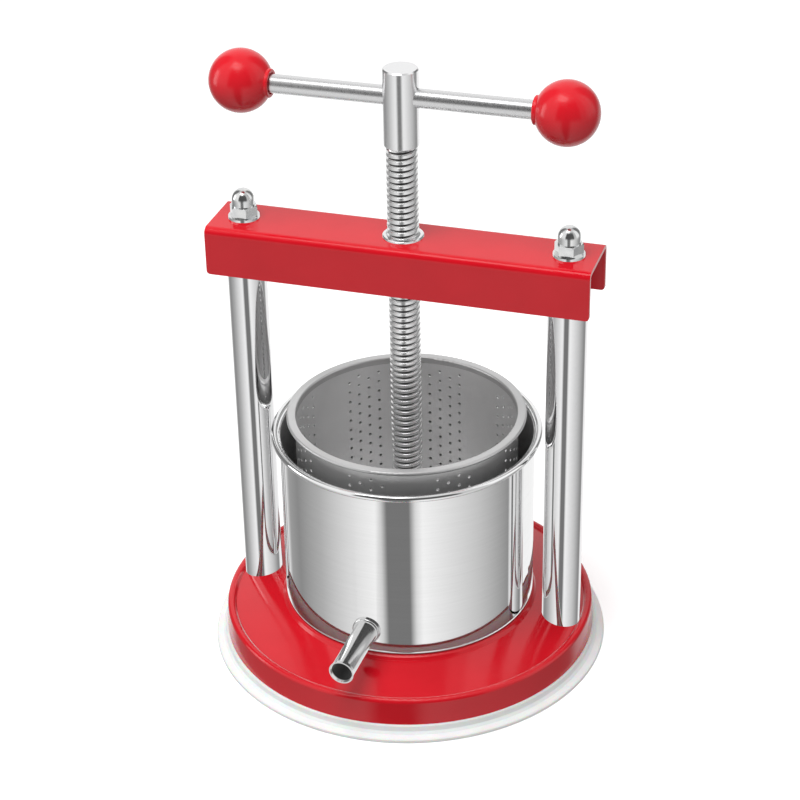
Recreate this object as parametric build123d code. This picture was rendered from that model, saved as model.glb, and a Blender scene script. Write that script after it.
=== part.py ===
from build123d import *
import math
import os

# Bench-top basket wine press. Millimetres, +Z up. The origin is on the floor under the screw's axis.
# +X runs along the crossbar and -Y is the front, where the spout leaves the pot.

# --- driving dimensions -------------------------------------------------------------------------
BASE_R = 125.0          # pressed base: skirt radius at its lower edge
BASE_SKIRT_Z = 9.0      # lower edge of the skirt, held off the floor by the foot ring
BASE_TOP_Z = 24.5       # height of the post seats and of the top's outer edge
BASE_CROWN = 6.0        # how far the top rises from its outer edge to the plinth
BASE_SHEET = 2.0
BEAD_W = 5.2            # raised bead round the base's shoulder
BEAD_H = 2.5
PLINTH_TOP_Z = 33.0     # raised centre that the pot stands on
PLINTH_R = 84.6
SEAT_PAD_D = 34.0       # pads welded under the top, with a socket for each post
SEAT_PAD_BOTTOM_Z = 20.5
SEAT_GAP = 0.1
FOOT_R = 133.0
FOOT_FLANGE_T = 2.8

POST_X = 106.0          # post axes, left and right of the screw
POST_D = 25.4
POST_WALL = 1.5
TIE_ROD_D = 10.0
TIE_ROD_HOLE_D = 10.5

BAR_HALF_L = 124.5      # crossbar: channel, open side down
BAR_HALF_W = 23.0
BAR_TOP_Z = 295.0
BAR_H = 32.0
BAR_SHEET = 2.5
BAR_BEND_R = 4.5
BAR_CORNER_R = 2.4

SCREW_D = 20.0          # trapezoidal thread, 20 x 4, made as separate rings at its pitch
SCREW_PITCH = 4.0
SCREW_ROOT_D = 15.5
SCREW_CREST_W = 1.4
SCREW_SHOULDER_Z = 86.3
SCREW_JOURNAL_D = 14.0
RUNNING_GAP = 0.05      # radial clearance of a turning or sliding fit
AXIAL_PLAY = 0.3

SHANK_H = 18.0          # plain end of the screw inside the head

HEAD_D = 22.3
HEAD_BOTTOM_Z = 355.0
HEAD_TOP_Z = 406.0
HANDLE_Z = 387.6
HANDLE_D = 12.0
KNOB_D = 40.0
KNOB_X = 103.0
KNOB_NECK_D = 18.0

NUT_BODY_D = 34.0       # threaded bush welded in the crossbar
NUT_NECK_D = 26.0
NUT_BOTTOM_Z = 266.0
NUT_LIP = 1.3

WASHER_D = 20.0
WASHER_T = 1.6
HEX_AF = 16.0           # hexagons of the M10 nuts
BASE_NUT_H = 8.0
CAP_HEX_H = 7.0
CAP_DOME_D = 14.6
CAP_TOTAL_H = 18.0

POT_R = 83.7            # outside of the pot's wall
POT_SHEET = 1.0
POT_BOTTOM_Z = PLINTH_TOP_Z + 0.2
POT_RIM_Z = 157.4
POT_LIP_R = 89.0
POT_BEAD_R = 2.1
POT_CORNER_R = 2.5
POT_SEAM_R = 79.0       # the pot's floor is welded in its shell at this radius
POT_HEADING = -2.0      # the loose pot stands turned this many degrees about Z

SPOUT_Z = 53.0
SPOUT_D = 15.0
SPOUT_BORE_D = 13.2
SPOUT_MOUTH_D = 16.4
SPOUT_END_R = 132.0     # distance of the mouth from the pot's axis
SPOUT_SLOPE = 1.0       # degrees downward, away from the pot
COLLAR_D = 18.6

BASKET_R = 73.0         # outside of the basket's wall
BASKET_SHEET = 0.8
BASKET_RIM_Z = 169.0
BASKET_LIP_R = 78.4
BASKET_LIP_H = 2.6
BASKET_SEAM_Z = 164.5   # the rolled rim is welded on the basket's wall at this height
BASKET_FLOOR_Z = 40.0
BASKET_FLOOR_T = 1.2
HOLE_D = 2.0
HOLE_GROUPS = 8
HOLE_COLUMNS = 4
HOLE_ROWS = 14
HOLE_COLUMN_ANGLE = 5.75
HOLE_ROW_PITCH = 7.35
HOLE_TOP_Z = 159.0
HOLE_HEADING = -4.0
NOTCH_COUNT = 8
NOTCH_R = 4.0
FLOOR_RINGS = 7
FLOOR_RING_PITCH = 9.0

PLATE_R = 70.6
PLATE_SHEET = 2.5
PLATE_TOP_Z = 70.0
PLATE_RIM_H = 10.0
HUB_D = 34.0
BOLT_D = 8.0
BOLT_AF = 13.0
BOLT_HEAD_H = 5.3
BOLT_LENGTH = 16.0
RETAINER_D = 26.0
RETAINER_T = 2.0


# --- helpers ------------------------------------------------------------------------------------
def turned(points):
    """Solid of revolution about Z from a closed outline of (radius, height) points."""
    outline = Polyline(*[(r, 0, z) for r, z in points], close=True)
    return revolve(make_face(outline), axis=Axis.Z)


def turned_face(face):
    """Solid of revolution about Z from a face drawn in the XY plane as (radius, height)."""
    return revolve(Plane.XZ * face, axis=Axis.Z)


def rod(diameter, z_low, z_high, x=0.0):
    """Round bar along Z."""
    return Pos(x, 0, z_low) * extrude(Circle(diameter / 2), z_high - z_low)


def tube(outer_d, inner_d, z_low, z_high, x=0.0):
    """Round tube or washer along Z."""
    section = Circle(outer_d / 2) - Circle(inner_d / 2)
    return Pos(x, 0, z_low) * extrude(section, z_high - z_low)


def hexagon(across_flats, z_low, z_high, x=0.0):
    """Hexagonal prism along Z with its corners chamfered at both ends."""
    height = z_high - z_low
    corner_r = across_flats / math.sqrt(3)
    prism = extrude(RegularPolygon(across_flats / 2, 6, major_radius=False), height)
    blank = extrude(Circle(corner_r), height)
    blank = chamfer(blank.edges().filter_by(GeomType.CIRCLE), corner_r * 0.09)
    return Pos(x, 0, z_low) * (prism & blank)


def bar_along_x(diameter, x_low, x_high, z):
    """Round bar along X."""
    return Pos(x_low, 0, z) * (Rot(0, 90, 0) * extrude(Circle(diameter / 2), x_high - x_low))


def one_solid(shape):
    """The single solid of a shape, so that each node holds plain solids."""
    solids = shape.solids()
    return solids[0] if len(solids) == 1 else Compound(children=list(solids))


# --- base ---------------------------------------------------------------------------------------
def base_plate():
    """Pressed dish: skirt, beaded shoulder, crowned top, low plinth, and a pad under each post."""
    top_r = BASE_R - BEAD_W
    foot_z = BASE_SKIRT_Z - 1.0
    half = BASE_SHEET / 2
    path = FilletPolyline(
        (0, PLINTH_TOP_Z - half),
        (PLINTH_R - half, PLINTH_TOP_Z - half),
        (PLINTH_R + 1.0, BASE_TOP_Z + BASE_CROWN - half),
        (top_r - half, BASE_TOP_Z - half),
        (top_r + 0.6, BASE_TOP_Z + BEAD_H - half),
        (BASE_R - 0.8 - half, BASE_TOP_Z + BEAD_H - half),
        (BASE_R - half, foot_z),
        radius=[1.2, 1.2, 1.6, 1.2, 1.6],
    )
    dish = turned_face(trace(path, line_width=BASE_SHEET)) - rod(2 * FOOT_R, 0, BASE_SKIRT_Z)
    crown = turned([
        (0, SEAT_PAD_BOTTOM_Z),
        (top_r - half, SEAT_PAD_BOTTOM_Z),
        (top_r - half, BASE_TOP_Z - half),
        (PLINTH_R + 1.0, BASE_TOP_Z + BASE_CROWN - half),
        (0, BASE_TOP_Z + BASE_CROWN - half),
    ])
    for x in (-POST_X, POST_X):
        dish += rod(SEAT_PAD_D, SEAT_PAD_BOTTOM_Z, PLINTH_TOP_Z, x) & crown
        dish -= rod(POST_D + 2 * SEAT_GAP, BASE_TOP_Z, PLINTH_TOP_Z, x)
        dish -= rod(TIE_ROD_HOLE_D, 0, PLINTH_TOP_Z, x)
    return dish


def foot_ring():
    """Soft ring: a wide thin flange on the floor and a step that the skirt sits on."""
    shoulder_r = BASE_R + 1.4
    lip_r = BASE_R - BASE_SHEET - 0.6
    outline = [
        (112.0, 0.0),
        (FOOT_R - 0.5, 0.0),
        (FOOT_R, 0.6),
        (FOOT_R - 0.3, 2.2),
        (FOOT_R - 1.2, FOOT_FLANGE_T),
        (shoulder_r + 2.0, FOOT_FLANGE_T + 0.6),
        (shoulder_r + 0.5, FOOT_FLANGE_T + 2.2),
        (shoulder_r, BASE_SKIRT_Z - 0.6),
        (shoulder_r - 0.6, BASE_SKIRT_Z),
        (lip_r, BASE_SKIRT_Z),
        (lip_r, BASE_SKIRT_Z + 4.0),
        (lip_r - 1.0, BASE_SKIRT_Z + 5.0),
        (118.5, BASE_SKIRT_Z + 5.0),
        (118.5, FOOT_FLANGE_T),
        (112.0, FOOT_FLANGE_T),
    ]
    return turned(outline)


# --- posts, rods and fasteners ------------------------------------------------------------------
def post(x):
    return tube(POST_D, POST_D - 2 * POST_WALL, BASE_TOP_Z, BAR_TOP_Z - BAR_SHEET, x)


def tie_rod(x):
    """Rod from under the base nut to inside the cap nut, chamfered at both ends."""
    low = SEAT_PAD_BOTTOM_Z - WASHER_T - BASE_NUT_H - 1.6
    high = BAR_TOP_Z + WASHER_T + 12.0
    body = rod(TIE_ROD_D, low, high, x)
    return chamfer(body.edges().filter_by(GeomType.CIRCLE), 1.0)


def cap_nut(x):
    """Domed nut: chamfered hexagon, short cylinder and round dome over a blind bore."""
    seat = BAR_TOP_Z + WASHER_T
    dome_r = CAP_DOME_D / 2
    straight_top = CAP_TOTAL_H - dome_r
    arc = ThreePointArc(
        (dome_r, straight_top),
        (dome_r * math.cos(math.pi / 4), straight_top + dome_r * math.sin(math.pi / 4)),
        (0, CAP_TOTAL_H),
    )
    sides = Polyline((0, CAP_TOTAL_H), (0, CAP_HEX_H - 1), (dome_r, CAP_HEX_H - 1), (dome_r, straight_top))
    dome = turned_face(make_face([*sides.edges(), *arc.edges()]))
    nut = hexagon(HEX_AF, 0, CAP_HEX_H) + dome
    nut -= rod(TIE_ROD_D, -1, 12.6)
    return Pos(x, 0, seat) * nut


def top_washer(x):
    return tube(WASHER_D, TIE_ROD_HOLE_D, BAR_TOP_Z, BAR_TOP_Z + WASHER_T, x)


def base_washer(x):
    return tube(WASHER_D, TIE_ROD_HOLE_D, SEAT_PAD_BOTTOM_Z - WASHER_T, SEAT_PAD_BOTTOM_Z, x)


def base_nut(x):
    top = SEAT_PAD_BOTTOM_Z - WASHER_T
    return hexagon(HEX_AF, top - BASE_NUT_H, top, x) - rod(TIE_ROD_D, top - BASE_NUT_H - 1, top + 1, x)


# --- crossbar and screw nut ---------------------------------------------------------------------
def crossbar():
    """Folded channel with its open side down, holes for the rods and for the screw nut."""
    half = BAR_SHEET / 2
    low_z = BAR_TOP_Z - BAR_H
    top_z = BAR_TOP_Z - half
    side_y = BAR_HALF_W - half
    path = FilletPolyline(
        (-side_y, low_z), (-side_y, top_z), (side_y, top_z), (side_y, low_z), radius=BAR_BEND_R - half
    )
    section = trace(path, line_width=BAR_SHEET)
    channel = Pos(-BAR_HALF_L, 0, 0) * extrude(Plane.YZ * section, 2 * BAR_HALF_L)
    flange = RectangleRounded(2 * BAR_HALF_L, 2 * BAR_H, BAR_CORNER_R)
    rounded = extrude(Plane.XZ * (Pos(0, BAR_TOP_Z) * flange), BAR_HALF_W + 1, both=True)
    channel &= rounded
    for x in (-POST_X, POST_X):
        channel -= rod(TIE_ROD_HOLE_D, low_z, BAR_TOP_Z + 1, x)
    return channel - rod(NUT_NECK_D, low_z, BAR_TOP_Z + 1)


def screw_nut():
    """Shouldered bush: body inside the channel, neck through the web, lip just proud of it."""
    under_web = BAR_TOP_Z - BAR_SHEET
    lip_z = BAR_TOP_Z + NUT_LIP
    bore_r = SCREW_D / 2 + RUNNING_GAP
    return turned([
        (bore_r + 0.6, NUT_BOTTOM_Z),
        (NUT_BODY_D / 2 - 1, NUT_BOTTOM_Z),
        (NUT_BODY_D / 2, NUT_BOTTOM_Z + 1),
        (NUT_BODY_D / 2, under_web),
        (NUT_NECK_D / 2, under_web),
        (NUT_NECK_D / 2, lip_z - 0.5),
        (NUT_NECK_D / 2 - 0.5, lip_z),
        (bore_r + 0.8, lip_z),
        (bore_r, lip_z - 0.8),
        (bore_r, NUT_BOTTOM_Z + 0.6),
    ])


# --- screw, head and handle ---------------------------------------------------------------------
def press_screw():
    """Shaft with ringed grooves of the thread's section, a journal below and a plain shank above."""
    crest_r = SCREW_D / 2
    root_r = SCREW_ROOT_D / 2
    neck_r = SCREW_JOURNAL_D / 2
    flank_h = SCREW_PITCH / 2 - SCREW_CREST_W
    journal_low = PLATE_TOP_Z - PLATE_SHEET - AXIAL_PLAY
    shank_top = HEAD_BOTTOM_Z + SHANK_H
    outline = [(0, journal_low), (neck_r, journal_low), (neck_r, SCREW_SHOULDER_Z)]
    turns = int((HEAD_BOTTOM_Z - SCREW_SHOULDER_Z) / SCREW_PITCH)
    for turn in range(turns):
        z = SCREW_SHOULDER_Z + turn * SCREW_PITCH
        outline.append((root_r, z))
        outline.append((root_r, z + SCREW_CREST_W))
        outline.append((crest_r, z + SCREW_CREST_W + flank_h))
        outline.append((crest_r, z + 2 * SCREW_CREST_W + flank_h))
    outline.append((root_r, SCREW_SHOULDER_Z + turns * SCREW_PITCH))
    outline.append((root_r, HEAD_BOTTOM_Z))
    outline.append((neck_r, HEAD_BOTTOM_Z))
    outline.append((neck_r, shank_top))
    outline.append((0, shank_top))
    return turned(outline) - rod(BOLT_D, journal_low - 1, journal_low + BOLT_LENGTH)


def screw_head():
    """Round head: blind socket for the screw's shank below and a tight cross hole for the handle."""
    radius = HEAD_D / 2
    head = turned([
        (0, HEAD_BOTTOM_Z),
        (radius - 1.8, HEAD_BOTTOM_Z),
        (radius, HEAD_BOTTOM_Z + 1.8),
        (radius, HEAD_TOP_Z - 0.8),
        (radius - 0.8, HEAD_TOP_Z),
        (0, HEAD_TOP_Z),
    ])
    head -= rod(SCREW_JOURNAL_D, HEAD_BOTTOM_Z - 1, HEAD_BOTTOM_Z + SHANK_H)
    return head - bar_along_x(HANDLE_D, -HEAD_D, HEAD_D, HANDLE_Z)


def handle_bar():
    reach = KNOB_X + 4.0
    bar = bar_along_x(HANDLE_D, -reach, reach, HANDLE_Z)
    return chamfer(bar.edges().filter_by(GeomType.CIRCLE), 0.8)


def knob(side):
    """Ball with a short neck round the bar and a shallow recess in the neck's mouth."""
    inner_x = KNOB_D / 2
    ball = Sphere(KNOB_D / 2)
    neck = bar_along_x(KNOB_NECK_D, -inner_x, -inner_x + 4, 0)
    neck = chamfer(neck.edges().filter_by(GeomType.CIRCLE).sort_by(Axis.X)[0], 0.6)
    body = ball + neck
    body -= bar_along_x(HANDLE_D, -inner_x - 1, 4.0, 0)
    body -= bar_along_x(HANDLE_D + 1.6, -inner_x - 1, -inner_x + 1.2, 0)
    if side < 0:
        body = Rot(0, 0, 180) * body
    return Pos(side * KNOB_X, 0, HANDLE_Z) * body


# --- press plate --------------------------------------------------------------------------------
def press_plate():
    """Dished disc with a turned-down rim and a hole for the screw's journal."""
    half = PLATE_SHEET / 2
    middle_z = PLATE_TOP_Z - half
    hole_r = SCREW_JOURNAL_D / 2 + 0.25
    path = FilletPolyline(
        (hole_r, middle_z),
        (PLATE_R - half, middle_z),
        (PLATE_R - half, PLATE_TOP_Z - PLATE_RIM_H),
        radius=3.5,
    )
    return turned_face(trace(path, line_width=PLATE_SHEET))


def plate_hub():
    """Bearing boss on the plate that the screw's journal turns in."""
    bore_r = SCREW_JOURNAL_D / 2 + RUNNING_GAP
    top = SCREW_SHOULDER_Z - AXIAL_PLAY
    return turned([
        (bore_r, PLATE_TOP_Z),
        (HUB_D / 2 + 2, PLATE_TOP_Z),
        (HUB_D / 2, PLATE_TOP_Z + 2),
        (HUB_D / 2, top - 1),
        (HUB_D / 2 - 1, top),
        (bore_r, top),
    ])


def retaining_washer():
    top = PLATE_TOP_Z - PLATE_SHEET - AXIAL_PLAY
    return tube(RETAINER_D, BOLT_D + 0.4, top - RETAINER_T, top)


def retaining_bolt():
    """Hexagon bolt up into the end of the screw."""
    seat = PLATE_TOP_Z - PLATE_SHEET - AXIAL_PLAY - RETAINER_T
    shank = rod(BOLT_D, seat, seat + RETAINER_T + BOLT_LENGTH - 1)
    return hexagon(BOLT_AF, seat - BOLT_HEAD_H, seat) + shank


# --- pot and spout ------------------------------------------------------------------------------
def spout_axis(diameter, start_r, end_r):
    """Round bar along the spout's axis, from one distance from the pot's axis to another."""
    bar = extrude(Circle(diameter / 2), end_r - start_r)
    return Pos(0, 0, SPOUT_Z) * Rot(90 + SPOUT_SLOPE, 0, 0) * Pos(0, 0, start_r) * bar


def pot():
    """Pot's shell: in-turned foot, straight wall, and a rim flared and rolled into a bead."""
    half = POT_SHEET / 2
    bead_r = POT_LIP_R - POT_BEAD_R
    bead_z = POT_RIM_Z - POT_BEAD_R
    path = FilletPolyline(
        (POT_SEAM_R, POT_BOTTOM_Z + half),
        (POT_R - half, POT_BOTTOM_Z + half),
        (POT_R - half, bead_z),
        (bead_r, bead_z),
        radius=[POT_CORNER_R, 1.6],
    )
    profile = trace(path, line_width=POT_SHEET) + Pos(bead_r, bead_z) * Circle(POT_BEAD_R)
    shell = turned_face(profile) - spout_axis(SPOUT_BORE_D, POT_R - 6, POT_R + 6)
    return Rot(0, 0, POT_HEADING) * shell


def pot_floor():
    """Flat disc that closes the pot's shell."""
    return rod(2 * POT_SEAM_R, POT_BOTTOM_Z, POT_BOTTOM_Z + POT_SHEET)


def spout():
    """Thin tube cut to the pot's wall at one end and slightly flared at its mouth."""
    flare_l = 3.0
    tube_end = SPOUT_END_R - flare_l
    body = spout_axis(SPOUT_D, POT_R - 4, tube_end)
    wall = (SPOUT_D - SPOUT_BORE_D) / 2
    flare = turned([
        (0, 0),
        (SPOUT_D / 2, 0),
        (SPOUT_MOUTH_D / 2, flare_l),
        (SPOUT_MOUTH_D / 2 - wall, flare_l),
        (SPOUT_BORE_D / 2, 0.2),
        (0, 0.2),
    ])
    body += Pos(0, 0, SPOUT_Z) * Rot(90 + SPOUT_SLOPE, 0, 0) * Pos(0, 0, tube_end) * flare
    body -= spout_axis(SPOUT_BORE_D, POT_R - 6, tube_end + 1)
    body -= Pos(0, 0, SPOUT_Z) * extrude(Circle(POT_R), 2 * SPOUT_D, both=True)
    return Rot(0, 0, POT_HEADING) * body


def spout_collar():
    """Rolled ring where the spout meets the pot, cut to the wall, with a rounded outer edge."""
    length = 3.4
    ring = extrude(Circle(COLLAR_D / 2) - Circle(SPOUT_D / 2), length)
    ring = fillet(ring.edges().group_by(Axis.Z)[-1].sort_by(SortBy.RADIUS)[-1], 1.2)
    skirt = extrude(Circle(COLLAR_D / 2) - Circle(SPOUT_D / 2), -4)
    ring = Pos(0, 0, SPOUT_Z) * Rot(90 + SPOUT_SLOPE, 0, 0) * Pos(0, 0, POT_R) * (ring + skirt)
    ring -= Pos(0, 0, SPOUT_Z) * extrude(Circle(POT_R), 2 * SPOUT_D, both=True)
    return Rot(0, 0, POT_HEADING) * ring


# --- basket -------------------------------------------------------------------------------------
def basket_holes():
    """Drills of the wall: groups of staggered columns with plain wall between the groups."""
    drill = Rot(0, 90, 0) * extrude(Circle(HOLE_D / 2), 6)
    drills = []
    for group in range(HOLE_GROUPS):
        for column in range(HOLE_COLUMNS):
            offset = (column - (HOLE_COLUMNS - 1) / 2) * HOLE_COLUMN_ANGLE
            angle = HOLE_HEADING + group * 360 / HOLE_GROUPS + offset
            top_z = HOLE_TOP_Z - (column % 2) * HOLE_ROW_PITCH / 2
            for row in range(HOLE_ROWS):
                z = top_z - row * HOLE_ROW_PITCH
                drills.append(Rot(0, 0, angle) * Pos(BASKET_R - 3, 0, z) * drill)
    return drills


def basket():
    """Perforated wall with drain notches in its lower edge."""
    bottom = POT_BOTTOM_Z + POT_SHEET + 0.2
    inner_r = BASKET_R - BASKET_SHEET
    wall = tube(2 * BASKET_R, 2 * inner_r, bottom, BASKET_SEAM_Z)
    notch = Rot(0, 90, 0) * extrude(Circle(NOTCH_R), 8)
    cutters = basket_holes()
    for i in range(NOTCH_COUNT):
        cutters.append(Rot(0, 0, 360 * i / NOTCH_COUNT + 22.5) * Pos(BASKET_R - 5, 0, bottom) * notch)
    return wall - cutters


def basket_rim():
    """Rolled lip with a short collar that carries on the basket's wall."""
    inner_r = BASKET_R - BASKET_SHEET
    lip_w = BASKET_LIP_R - inner_r
    lip_middle_z = BASKET_RIM_Z - BASKET_LIP_H / 2
    lip_face = Pos(inner_r + lip_w / 2, lip_middle_z) * RectangleRounded(
        lip_w, BASKET_LIP_H, BASKET_LIP_H / 2 - 0.05
    )
    return tube(2 * BASKET_R, 2 * inner_r, BASKET_SEAM_Z, lip_middle_z) + turned_face(lip_face)


def basket_floor():
    """Perforated disc inside the wall, raised so that the juice runs out under it."""
    floor = rod(2 * (BASKET_R - BASKET_SHEET), BASKET_FLOOR_Z, BASKET_FLOOR_Z + BASKET_FLOOR_T)
    drills = []
    for ring in range(1, FLOOR_RINGS + 1):
        radius = ring * FLOOR_RING_PITCH
        count = 6 * ring
        for i in range(count):
            hole = rod(HOLE_D * 1.5, BASKET_FLOOR_Z - 1, BASKET_FLOOR_Z + 3, radius)
            drills.append(Rot(0, 0, 360 * i / count) * hole)
    return floor - drills


# --- nodes --------------------------------------------------------------------------------------
def build_nodes():
    nodes = {
        "base_plate": base_plate(),
        "foot_ring": foot_ring(),
        "crossbar": crossbar(),
        "screw_nut": screw_nut(),
        "press_screw": press_screw(),
        "screw_head": screw_head(),
        "handle_bar": handle_bar(),
        "press_plate": press_plate(),
        "plate_hub": plate_hub(),
        "retaining_washer": retaining_washer(),
        "retaining_bolt": retaining_bolt(),
        "pot": pot(),
        "pot_floor": pot_floor(),
        "spout": spout(),
        "spout_collar": spout_collar(),
        "basket": basket(),
        "basket_rim": basket_rim(),
        "basket_floor": basket_floor(),
    }
    for name, side in (("left", -1), ("right", 1)):
        x = side * POST_X
        nodes[name + "_post"] = post(x)
        nodes[name + "_tie_rod"] = tie_rod(x)
        nodes[name + "_cap_nut"] = cap_nut(x)
        nodes[name + "_top_washer"] = top_washer(x)
        nodes[name + "_base_washer"] = base_washer(x)
        nodes[name + "_base_nut"] = base_nut(x)
        nodes[name + "_knob"] = knob(side)
    return nodes


def write_nodes(nodes):
    os.makedirs("parts", exist_ok=True)
    for name, shape in nodes.items():
        export_step(one_solid(shape), "parts/" + name + ".step")


write_nodes(build_nodes())
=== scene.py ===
import math

import bmesh
import bpy
from mathutils import Matrix, Vector


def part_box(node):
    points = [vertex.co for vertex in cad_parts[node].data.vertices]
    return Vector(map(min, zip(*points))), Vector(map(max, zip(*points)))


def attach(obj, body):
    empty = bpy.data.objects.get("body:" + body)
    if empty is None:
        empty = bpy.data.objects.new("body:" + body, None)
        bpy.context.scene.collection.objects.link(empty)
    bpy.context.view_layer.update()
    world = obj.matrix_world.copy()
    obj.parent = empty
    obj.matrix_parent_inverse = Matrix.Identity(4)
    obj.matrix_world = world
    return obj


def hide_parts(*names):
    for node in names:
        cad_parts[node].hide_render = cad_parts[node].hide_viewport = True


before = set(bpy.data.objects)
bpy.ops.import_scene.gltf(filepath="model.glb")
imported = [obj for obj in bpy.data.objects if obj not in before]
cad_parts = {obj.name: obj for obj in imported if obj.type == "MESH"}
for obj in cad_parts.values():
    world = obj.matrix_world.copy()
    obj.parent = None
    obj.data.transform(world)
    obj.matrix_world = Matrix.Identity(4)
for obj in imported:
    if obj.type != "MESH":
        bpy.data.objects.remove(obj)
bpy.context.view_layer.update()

# Camera: where it looks, from which side, from how far, and how far it leans.
LOOK_AT = Vector((-0.0043, 0.0, 0.1759))
CAMERA_AZIMUTH = math.radians(17.75)
CAMERA_ELEVATION = math.radians(29.84)
CAMERA_DISTANCE = 1.438
CAMERA_ROLL = math.radians(-1.15)
CAMERA_LENS = 99.4


# The spout's axis: a point on it and its direction.
SPOUT_POINT = (-0.003838, -0.109916, 0.05108)
SPOUT_ALONG = (-0.034894, -0.999239, -0.017452)


# Radii, in metres, where one finish gives way to another; in the spout's bore and in the screw's
# grooves the colour there also turns to painted shade.
POT_INSIDE_R = (0.0834, 0.0830)
SPOUT_BORE_SHADE_R = (0.0070, 0.0068)
THREAD_GROOVE_SHADE_R = (0.0076, 0.0091)

# Noise textures mostly keep between these values.
NOISE_LOW = 0.3
NOISE_HIGH = 0.7


# --- node helpers -------------------------------------------------------------------------------
def new_material(name, **values):
    """A Principled material with constant values set on the shader's own sockets."""
    material = bpy.data.materials.new(name)
    material.use_nodes = True
    shader = material.node_tree.nodes["Principled BSDF"]
    for socket, value in values.items():
        shader.inputs[socket.replace("_", " ")].default_value = value
    return material


def add(material, kind, **settings):
    """A new node with its settings."""
    node = material.node_tree.nodes.new(kind)
    for key, value in settings.items():
        setattr(node, key, value)
    return node


def wire(material, output, target):
    """A link from one node's output to another's input."""
    material.node_tree.links.new(output, target)


def shader_of(material):
    """The material's Principled shader."""
    return material.node_tree.nodes["Principled BSDF"]


def noise(material, scale, stretch=(1, 1, 1), detail=3.0):
    """Noise in the object's own metres; stretch squeezes it along an axis."""
    coords = add(material, "ShaderNodeTexCoord")
    mapping = add(material, "ShaderNodeMapping")
    mapping.inputs["Scale"].default_value = stretch
    texture = add(material, "ShaderNodeTexNoise")
    texture.inputs["Scale"].default_value = scale
    texture.inputs["Detail"].default_value = detail
    wire(material, coords.outputs["Object"], mapping.inputs["Vector"])
    wire(material, mapping.outputs["Vector"], texture.inputs["Vector"])
    return texture.outputs["Fac"]


def radius_from_axis(material):
    """Distance from the screw's axis, in metres."""
    coords = add(material, "ShaderNodeTexCoord")
    flat = add(material, "ShaderNodeVectorMath", operation="MULTIPLY")
    flat.inputs[1].default_value = (1, 1, 0)
    radius = add(material, "ShaderNodeVectorMath", operation="LENGTH")
    wire(material, coords.outputs["Object"], flat.inputs[0])
    wire(material, flat.outputs["Vector"], radius.inputs[0])
    return radius.outputs["Value"]


def between(material, value, low, high, at_low, at_high):
    """A value that goes from at_low to at_high as another goes from low to high."""
    node = add(material, "ShaderNodeMapRange")
    node.inputs["From Min"].default_value = low
    node.inputs["From Max"].default_value = high
    node.inputs["To Min"].default_value = at_low
    node.inputs["To Max"].default_value = at_high
    wire(material, value, node.inputs["Value"])
    return node.outputs["Result"]


def turned_lines(material, fineness, along=25.0):
    """Fine lines that run round the Z axis, on walls and on flat rings alike."""
    coords = add(material, "ShaderNodeTexCoord")
    across = add(material, "ShaderNodeMath", operation="MULTIPLY")
    across.inputs[1].default_value = fineness
    mapping = add(material, "ShaderNodeMapping")
    mapping.inputs["Scale"].default_value = (along, along, fineness)
    texture = add(material, "ShaderNodeTexNoise", noise_dimensions="4D")
    texture.inputs["Scale"].default_value = 1.0
    texture.inputs["Detail"].default_value = 2.0
    wire(material, radius_from_axis(material), across.inputs[0])
    wire(material, coords.outputs["Object"], mapping.inputs["Vector"])
    wire(material, mapping.outputs["Vector"], texture.inputs["Vector"])
    wire(material, across.outputs["Value"], texture.inputs["W"])
    return texture.outputs["Fac"]


def spread(material, value, low, high):
    """A noise value moved to low-high."""
    return between(material, value, NOISE_LOW, NOISE_HIGH, low, high)


def blend_colors(material, value, dark, light):
    """Two colours mixed by a noise value."""
    node = add(material, "ShaderNodeValToRGB")
    node.color_ramp.elements[0].position = NOISE_LOW
    node.color_ramp.elements[0].color = (*dark, 1)
    node.color_ramp.elements[1].position = NOISE_HIGH
    node.color_ramp.elements[1].color = (*light, 1)
    wire(material, value, node.inputs["Fac"])
    return node.outputs["Color"]


def mix_colors(material, factor, low, high):
    """Two colours, each a socket or a constant, mixed by a factor."""
    mix = add(material, "ShaderNodeMix", data_type="RGBA")
    wire(material, factor, mix.inputs[0])
    for slot, color in ((6, low), (7, high)):
        if isinstance(color, tuple):
            mix.inputs[slot].default_value = color
        else:
            wire(material, color, mix.inputs[slot])
    return mix.outputs[2]


def bump(material, height, distance, strength=1.0):
    """Surface relief from a 0-1 height."""
    node = add(material, "ShaderNodeBump")
    node.inputs["Distance"].default_value = distance
    node.inputs["Strength"].default_value = strength
    wire(material, height, node.inputs["Height"])
    wire(material, node.outputs["Normal"], shader_of(material).inputs["Normal"])


# --- materials ----------------------------------------------------------------------------------
def powder_coat(name, gloss):
    """Glossy red powder coat: faint orange peel, slightly uneven gloss and depth."""
    m = new_material(name, IOR=1.5, Specular_IOR_Level=gloss)
    color = blend_colors(m, noise(m, 35.0), (0.60, 0.0040, 0.0125), (0.64, 0.0050, 0.0145))
    wire(m, color, shader_of(m).inputs["Base Color"])
    wire(m, spread(m, noise(m, 60.0), 0.10, 0.15), shader_of(m).inputs["Roughness"])
    bump(m, noise(m, 420.0, detail=1.0), 0.00002, 0.35)
    return m


def ball_plastic():
    """Moulded red plastic with a soft gloss."""
    m = new_material("red_ball_plastic", IOR=1.5, Specular_IOR_Level=0.45)
    color = blend_colors(m, noise(m, 50.0), (0.60, 0.006, 0.014), (0.65, 0.008, 0.018))
    wire(m, color, shader_of(m).inputs["Base Color"])
    wire(m, spread(m, noise(m, 90.0), 0.17, 0.22), shader_of(m).inputs["Roughness"])
    bump(m, noise(m, 900.0, detail=1.0), 0.00002, 0.3)
    return m


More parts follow.
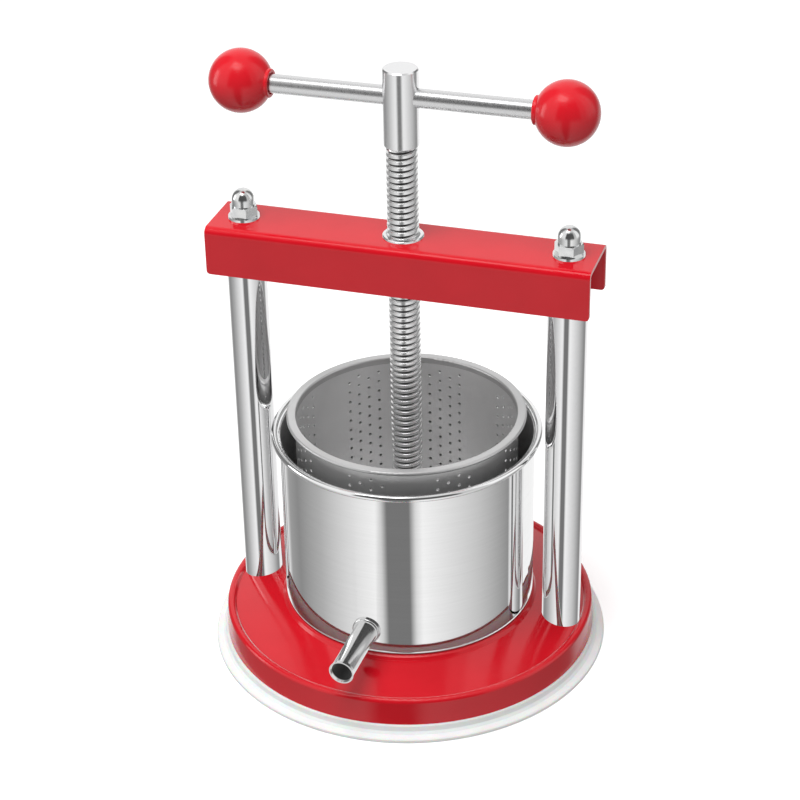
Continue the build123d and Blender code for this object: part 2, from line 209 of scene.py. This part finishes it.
def bright_metal(name, color, roughness, vary=0.03, lines=900.0, line_depth=0.0):
    """Polished or turned metal: gloss that varies along fine lines round the axis."""
    m = new_material(name, Metallic=1.0)
    fine = turned_lines(m, lines)
    dark = tuple(c * 0.98 for c in color)
    wire(m, blend_colors(m, fine, dark, color), shader_of(m).inputs["Base Color"])
    wire(m, spread(m, fine, roughness - vary, roughness + vary), shader_of(m).inputs["Roughness"])
    if line_depth:
        bump(m, fine, line_depth, 0.5)
    return m


def thread_steel():
    """Bright rolled crests over grooves painted dark as painted shade, with faint random tone."""
    m = new_material("thread_steel", Metallic=1.0)
    # painted shade: the colour goes dark towards the thread's roots, where shade falls in the grooves
    depth = between(m, radius_from_axis(m), *THREAD_GROOVE_SHADE_R, 0.0, 1.0)
    groove_shade_and_tone = add(m, "ShaderNodeMath", operation="MULTIPLY")
    wire(m, depth, groove_shade_and_tone.inputs[0])
    wire(m, spread(m, noise(m, 160.0), 0.88, 1.0), groove_shade_and_tone.inputs[1])
    wire(m, blend_colors(m, groove_shade_and_tone.outputs[0], (0.22, 0.22, 0.22), (0.90, 0.90, 0.90)),
         shader_of(m).inputs["Base Color"])
    wire(m, between(m, depth, 0.0, 1.0, 0.45, 0.24), shader_of(m).inputs["Roughness"])
    return m


def pot_steel():
    """Mirror polish outside, satin inside."""
    m = new_material("mirror_steel")
    fine = turned_lines(m, 700.0)
    inside = between(m, radius_from_axis(m), *POT_INSIDE_R, 0.0, 1.0)
    outer = blend_colors(m, fine, (0.90, 0.90, 0.90), (0.93, 0.93, 0.93))
    wire(m, mix_colors(m, inside, outer, (0.5, 0.5, 0.5, 1)), shader_of(m).inputs["Base Color"])
    wire(m, between(m, inside, 0.0, 1.0, 0.04, 0.42), shader_of(m).inputs["Roughness"])
    wire(m, between(m, inside, 0.0, 1.0, 1.0, 0.6), shader_of(m).inputs["Metallic"])
    return m


def spout_steel():
    """Polished tube, dull inside, with the bore painted near-black as painted shade."""
    m = new_material("spout_steel", Metallic=1.0)
    coords = add(m, "ShaderNodeTexCoord")
    from_axis = add(m, "ShaderNodeVectorMath", operation="SUBTRACT")
    from_axis.inputs[1].default_value = SPOUT_POINT
    across = add(m, "ShaderNodeVectorMath", operation="CROSS_PRODUCT")
    across.inputs[1].default_value = SPOUT_ALONG
    radius = add(m, "ShaderNodeVectorMath", operation="LENGTH")
    wire(m, coords.outputs["Object"], from_axis.inputs[0])
    wire(m, from_axis.outputs["Vector"], across.inputs[0])
    wire(m, across.outputs["Vector"], radius.inputs[0])
    inside = between(m, radius.outputs["Value"], *SPOUT_BORE_SHADE_R, 0.0, 1.0)
    outer = blend_colors(m, noise(m, 90.0), (0.68, 0.68, 0.68), (0.74, 0.74, 0.74))
    # painted shade: the bore's colour is near-black, standing in for the shade inside the tube
    color = mix_colors(m, inside, outer, (0.05, 0.05, 0.05, 1))
    wire(m, color, shader_of(m).inputs["Base Color"])
    wire(m, between(m, inside, 0.0, 1.0, 0.14, 0.6), shader_of(m).inputs["Roughness"])
    return m


def satin_steel(name, dark, light):
    """Brushed sheet of the basket and the press plate."""
    m = new_material(name, Metallic=0.8)
    fine = turned_lines(m, 2600.0)
    cloud = noise(m, 22.0)
    wire(m, blend_colors(m, cloud, (dark,) * 3, (light,) * 3), shader_of(m).inputs["Base Color"])
    wire(m, spread(m, fine, 0.34, 0.44), shader_of(m).inputs["Roughness"])
    bump(m, fine, 0.000004, 0.5)
    return m


def zinc_plate():
    """Bright zinc on fasteners, with faint cloudy patches."""
    m = new_material("bright_zinc_plate", Metallic=1.0)
    color = blend_colors(m, noise(m, 140.0), (0.72, 0.73, 0.74), (0.86, 0.86, 0.85))
    wire(m, color, shader_of(m).inputs["Base Color"])
    wire(m, spread(m, noise(m, 300.0), 0.10, 0.20), shader_of(m).inputs["Roughness"])
    return m


def frosted_silicone():
    """Pale translucent rubber with a dusty sheen."""
    m = new_material(
        "frosted_silicone",
        Subsurface_Weight=0.6, Subsurface_Scale=0.004, IOR=1.41, Sheen_Weight=0.15,
    )
    color = blend_colors(m, noise(m, 45.0), (0.80, 0.82, 0.81), (0.86, 0.87, 0.865))
    wire(m, color, shader_of(m).inputs["Base Color"])
    wire(m, spread(m, noise(m, 120.0), 0.40, 0.55), shader_of(m).inputs["Roughness"])
    bump(m, noise(m, 500.0, detail=2.0), 0.00005, 0.4)
    return m


def paint_nodes():
    """Every CAD node gets its material."""
    red = powder_coat("red_powder_coat", 0.5)
    bar_red = powder_coat("red_bar_coat", 0.4)
    plastic = ball_plastic()
    tube = bright_metal("polished_tube", (0.90, 0.90, 0.905), 0.05, 0.01, 500.0)
    pot = pot_steel()
    brushed = satin_steel("satin_steel", 0.84, 0.94)
    # painted shade: the basket's rim gets a darker copy of the basket's own satin steel
    rim = satin_steel("rim_steel_painted_shade", 0.60, 0.68)
    thread = thread_steel()
    press_screw(thread)
    turned = bright_metal("turned_steel", (0.92, 0.92, 0.925), 0.20, 0.03, 1500.0, 0.000006)
    bar = bright_metal("satin_bar", (0.80, 0.80, 0.805), 0.28, 0.03, 700.0)
    tube_steel = spout_steel()
    zinc = zinc_plate()
    silicone = frosted_silicone()
    by_node = {
        "base_plate": red, "crossbar": bar_red, "foot_ring": silicone, "screw_nut": turned,
        "press_screw": thread, "screw_head": turned, "handle_bar": bar, "press_plate": brushed,
        "plate_hub": brushed, "retaining_washer": zinc, "retaining_bolt": zinc, "pot": pot,
        "pot_floor": pot, "spout": tube_steel, "spout_collar": tube_steel, "basket": brushed,
        "basket_rim": rim, "basket_floor": brushed,
    }
    for side in ("left", "right"):
        by_node[side + "_post"] = tube
        by_node[side + "_knob"] = plastic
        for part in ("_tie_rod", "_cap_nut", "_top_washer", "_base_washer", "_base_nut"):
            by_node[side + part] = zinc
    for name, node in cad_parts.items():
        node.data.materials.clear()
        node.data.materials.append(by_node[name])
    for name in ("base_plate", "crossbar", "spout", "spout_collar"):
        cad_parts[name].visible_glossy = False


# --- pieces made here ---------------------------------------------------------------------------
THREAD_PITCH = 0.004
THREAD_DEPTH = 0.00225
THREAD_SIDES = 72
THREAD_IN_HEAD = 0.002      # how far the thread runs on inside the head
JOURNAL_SHARE = 0.7         # the plain ends' radius next to the crest's
HUB_GAP = 0.0002
SHELL_GAP = 0.0001          # keeps the screw's closed shells from touching

# One pitch of the thread: how far up it each point is, and how high the thread stands there,
# both from 0 to 1.
THREAD_PROFILE = [
    (0.00, 0.00), (0.10, 0.00), (0.20, 0.40), (0.30, 0.86), (0.36, 0.98),
    (0.46, 1.00), (0.74, 1.00), (0.84, 0.98), (0.90, 0.86), (0.97, 0.35),
]


def smooth(obj, degrees=35.0):
    """Smooth shading that keeps edges sharper than the angle."""
    obj.data.shade_smooth()
    obj.data.set_sharp_from_angle(angle=math.radians(degrees))


def new_piece(name, mesh, body, slot, material, *stands_for):
    """A mesh as a piece of the press: it rides on a body and may stand for CAD nodes."""
    piece = bpy.data.objects.new(name, mesh)
    bpy.context.scene.collection.objects.link(piece)
    mesh.materials.clear()
    mesh.materials.append(material)
    if stands_for:
        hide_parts(*stands_for)
    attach(piece, body)
    return piece


def lathe(bm, outline, sides=96):
    """A closed shell turned about Z from (radius, height) points that starts and ends at radius 0."""
    rings = []
    for radius, height in outline:
        if radius == 0:
            rings.append([bm.verts.new((0, 0, height))])
            continue
        turn = 2 * math.pi / sides
        rings.append([
            bm.verts.new((radius * math.cos(i * turn), radius * math.sin(i * turn), height))
            for i in range(sides)
        ])
    for low, high in zip(rings, rings[1:]):
        for i in range(sides):
            j = (i + 1) % sides
            if len(low) == 1:
                bm.faces.new((low[0], high[j], high[i]))
            elif len(high) == 1:
                bm.faces.new((low[i], low[j], high[0]))
            else:
                bm.faces.new((low[i], low[j], high[j], high[i]))


def screw_thread(bm, low, high, crest_radius):
    """A helical thread between two heights that runs out smoothly at both ends."""
    turns = int((high - low) / THREAD_PITCH) + 2
    rows = []
    for row in range(turns * len(THREAD_PROFILE)):
        lift, stand = THREAD_PROFILE[row % len(THREAD_PROFILE)]
        start = low + (row // len(THREAD_PROFILE) - 1 + lift) * THREAD_PITCH
        verts = []
        for side in range(THREAD_SIDES):
            angle = 2 * math.pi * side / THREAD_SIDES
            z = min(max(start + THREAD_PITCH * side / THREAD_SIDES, low), high)
            run_out = min(1.0, min(z - low, high - z) / THREAD_PITCH * 1.2)
            radius = crest_radius - THREAD_DEPTH * (1 - stand * run_out)
            verts.append(bm.verts.new((radius * math.cos(angle), radius * math.sin(angle), z)))
        rows.append(verts)
    step = len(THREAD_PROFILE)
    for row in range(len(rows) - 1):
        low_row, high_row = rows[row], rows[row + 1]
        for side in range(THREAD_SIDES):
            if side < THREAD_SIDES - 1:
                far_low, far_high = low_row[side + 1], high_row[side + 1]
            elif row + step + 1 < len(rows):
                far_low, far_high = rows[row + step][0], rows[row + step + 1][0]
            else:
                continue
            bm.faces.new((low_row[side], far_low, far_high, high_row[side]))
    bmesh.ops.remove_doubles(bm, verts=bm.verts, dist=1e-6)
    bmesh.ops.dissolve_degenerate(bm, edges=bm.edges, dist=1e-7)
    bmesh.ops.holes_fill(bm, edges=[e for e in bm.edges if e.is_boundary], sides=0)


def press_screw(material):
    """The screw with its true helix; the CAD solid has rings of the same section in its place."""
    low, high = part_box("press_screw")
    head_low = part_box("screw_head")[0][2] + THREAD_IN_HEAD
    hub_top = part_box("plate_hub")[1][2]
    crest_radius = high[0]
    journal_radius = crest_radius * JOURNAL_SHARE
    journal_high = hub_top + HUB_GAP
    shank_low = head_low + SHELL_GAP
    bm = bmesh.new()
    screw_thread(bm, journal_high + SHELL_GAP, head_low, crest_radius)
    for bottom, top in ((low[2], journal_high), (shank_low, high[2])):
        lathe(bm, [(0, bottom), (journal_radius, bottom), (journal_radius, top), (0, top)])
    mesh = bpy.data.meshes.new("helical_screw")
    bmesh.ops.recalc_face_normals(bm, faces=bm.faces)
    bm.to_mesh(mesh)
    bm.free()
    piece = new_piece("helical_screw", mesh, "screw", "thread_steel", material, "press_screw")
    smooth(piece, 28.0)


# --- stage --------------------------------------------------------------------------------------
def floor():
    """Plain pale floor, lit evenly enough to meet the white surroundings."""
    mesh = bpy.data.meshes.new("floor")
    half = 15.0
    corners = [(-half, -half, 0), (half, -half, 0), (half, half, 0), (-half, half, 0)]
    mesh.from_pydata(corners, [], [(0, 1, 2, 3)])
    plane = bpy.data.objects.new("floor", mesh)
    bpy.context.scene.collection.objects.link(plane)
    mesh.materials.append(new_material(
        "pale_floor", Base_Color=(0.9, 0.9, 0.9, 1), Roughness=0.9, Specular_IOR_Level=0.0,
        Emission_Color=(1, 1, 1, 1), Emission_Strength=0.36
    ))
    plane.visible_glossy = False
    plane.visible_diffuse = False


# Brightness that mirrors see, by degrees round from the camera's side, towards its right.
LOW_BAND = [
    (-180, 0.95), (-150, 0.95), (-138, 0.35), (-120, 0.27), (-88, 0.45), (-65, 0.66),
    (-45, 0.84), (-30, 0.95), (-26, 0.72), (-20, 0.19), (0, 0.19), (6, 0.75),
    (12, 0.96), (40, 0.76), (64, 0.60), (104, 0.28), (116, 0.30), (126, 0.95), (180, 0.95),
]
HIGH_BAND = [
    (-180, 0.95), (-152, 0.95), (-142, 0.20), (-108, 0.20), (-102, 0.95), (-46, 0.95),
    (-42, 0.08), (40, 0.10), (44, 0.55), (64, 0.60), (70, 1.00), (104, 1.00),
    (110, 0.20), (142, 0.20), (152, 0.95), (180, 0.95),
]
# Heights on the unit sphere between which one band gives way to the next, and the grey overhead.
LOW_TO_HIGH = (-0.3, 0.1)
HIGH_TO_TOP = (0.75, 0.97)
TOP_GREY = (0.75, 0.75, 0.75, 1)
# Heights between which the soft light from below gives way to the one from above.
SOFT_CHANGE = (-0.1, 0.1)
# Brightness of the surroundings as soft light, from above and from below the horizon.
SOFT_ABOVE = 0.54
SOFT_BELOW = 0.43


def studio():
    """White surroundings; mirrors see two bands of softboxes with dark gaps between them."""
    world = bpy.data.worlds.new("studio")
    bpy.context.scene.world = world
    world.use_nodes = True
    background = world.node_tree.nodes["Background"]
    coords = add(world, "ShaderNodeTexCoord")
    turn = add(world, "ShaderNodeVectorRotate", rotation_type="Z_AXIS")
    turn.inputs["Angle"].default_value = -CAMERA_AZIMUTH
    parts = add(world, "ShaderNodeSeparateXYZ")
    back = add(world, "ShaderNodeMath", operation="MULTIPLY")
    back.inputs[1].default_value = -1.0
    azimuth = add(world, "ShaderNodeMath", operation="ARCTAN2")
    around = add(world, "ShaderNodeMapRange")
    around.inputs["From Min"].default_value = -math.pi
    around.inputs["From Max"].default_value = math.pi
    wire(world, coords.outputs["Generated"], turn.inputs["Vector"])
    wire(world, turn.outputs["Vector"], parts.inputs["Vector"])
    wire(world, parts.outputs["Y"], back.inputs[0])
    wire(world, parts.outputs["X"], azimuth.inputs[0])
    wire(world, back.outputs["Value"], azimuth.inputs[1])
    wire(world, azimuth.outputs["Value"], around.inputs["Value"])
    bands = []
    for stops in (LOW_BAND, HIGH_BAND):
        band = add(world, "ShaderNodeValToRGB")
        set_stops(band.color_ramp, stops)
        wire(world, around.outputs["Result"], band.inputs["Fac"])
        bands.append(band.outputs["Color"])
    mirrored = rise(world, parts.outputs["Z"], *LOW_TO_HIGH, bands[0], bands[1])
    mirrored = rise(world, parts.outputs["Z"], *HIGH_TO_TOP, mirrored, TOP_GREY)
    path = add(world, "ShaderNodeLightPath")
    above = (SOFT_ABOVE, SOFT_ABOVE, SOFT_ABOVE, 1)
    below = (SOFT_BELOW, SOFT_BELOW, SOFT_BELOW, 1)
    soft = rise(world, parts.outputs["Z"], *SOFT_CHANGE, below, above)
    soft = mix_colors(world, path.outputs["Is Camera Ray"], soft, (1, 1, 1, 1))
    seen = mix_colors(world, path.outputs["Is Glossy Ray"], soft, mirrored)
    wire(world, seen, background.inputs["Color"])


def rise(world, height, low_z, high_z, low, high):
    """One colour below a height and another above it, with a soft change between."""
    step = add(world, "ShaderNodeMapRange", interpolation_type="SMOOTHSTEP")
    step.inputs["From Min"].default_value = low_z
    step.inputs["From Max"].default_value = high_z
    wire(world, height, step.inputs["Value"])
    return mix_colors(world, step.outputs["Result"], low, high)


def set_stops(ramp, stops):
    """Fills a colour ramp with grey stops given as (degrees, brightness)."""
    while len(ramp.elements) < len(stops):
        ramp.elements.new(0.5)
    for element, (degrees, grey) in zip(ramp.elements, stops):
        element.position = (degrees + 180) / 360
        element.color = (grey, grey, grey, 1)


def softbox(name, place, size, watts, mirrored=True):
    """An area light aimed at the middle of the press; mirrors may be kept from seeing it."""
    light = bpy.data.lights.new(name, "AREA")
    light.shape = "RECTANGLE"
    light.size, light.size_y = size
    light.energy = watts
    lamp = bpy.data.objects.new(name, light)
    lamp.location = place
    lamp.visible_glossy = mirrored
    aim = Vector((0, 0, 0.2)) - lamp.location
    lamp.rotation_euler = aim.to_track_quat("-Z", "Y").to_euler()
    bpy.context.scene.collection.objects.link(lamp)


def camera():
    """Camera at the reference's viewing angle, distance, lens and lean."""
    flat = math.cos(CAMERA_ELEVATION)
    back = Vector((
        math.sin(CAMERA_AZIMUTH) * flat,
        -math.cos(CAMERA_AZIMUTH) * flat,
        math.sin(CAMERA_ELEVATION),
    ))
    right = back.cross(Vector((0, 0, -1))).normalized()
    up = back.cross(right)
    lean_right = right * math.cos(CAMERA_ROLL) + up * math.sin(CAMERA_ROLL)
    lean_up = up * math.cos(CAMERA_ROLL) - right * math.sin(CAMERA_ROLL)
    data = bpy.data.cameras.new("camera")
    data.lens = CAMERA_LENS
    data.sensor_width = 36.0
    data.clip_end = 50.0
    view = bpy.data.objects.new("camera", data)
    turn = Matrix((lean_right, lean_up, back)).transposed().to_4x4()
    view.matrix_world = Matrix.Translation(LOOK_AT + back * CAMERA_DISTANCE) @ turn
    bpy.context.scene.collection.objects.link(view)
    bpy.context.scene.camera = view


# --- scene --------------------------------------------------------------------------------------
camera()
floor()
studio()
softbox("key", (-0.2, -0.55, 1.75), (1.3, 1.1), 21.0, mirrored=False)
softbox("sheen", (-0.2, -0.5, 1.8), (0.8, 0.6), 3.4)
softbox("side", (-1.5, -0.25, 0.5), (0.45, 0.9), 2.5)
paint_nodes()
bpy.context.scene.view_settings.view_transform = "Standard"
